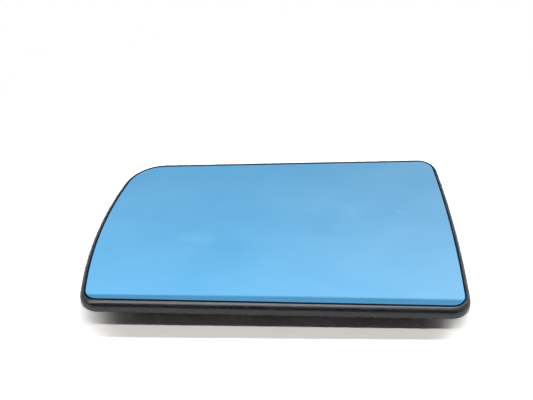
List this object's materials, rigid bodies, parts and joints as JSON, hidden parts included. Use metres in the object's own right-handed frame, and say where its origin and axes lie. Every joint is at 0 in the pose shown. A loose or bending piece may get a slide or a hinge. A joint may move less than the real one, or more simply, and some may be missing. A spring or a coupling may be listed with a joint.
{
  "type": "car door mirror glass",
  "caption": "Flat blue-tinted heated mirror plate for a left-hand car door mirror, in a black moulded carrier with a bead rim and a clip ring on its back.",
  "frame": {"origin": "on the axis of the clip ring, in the plane of its rear face, which is the middle of the part's box from below", "axes": "+Z out of the mirror face, +X along the straight lower edge towards the car, +Y towards the upper edge"},
  "size_m": [0.1914, 0.1167, 0.014],
  "materials": {
    "mirror": "polished",
    "pad": "satin",
    "carrier": "satin",
    "terminal": "satin"
  },
  "bodies": {
    "root": {"mirror_glass": "mirror", "heating_pad": "pad", "carrier": "carrier", "outer_terminal": "terminal", "inner_terminal": "terminal", "terminal_rivets": "terminal"}
  },
  "joints": []
}
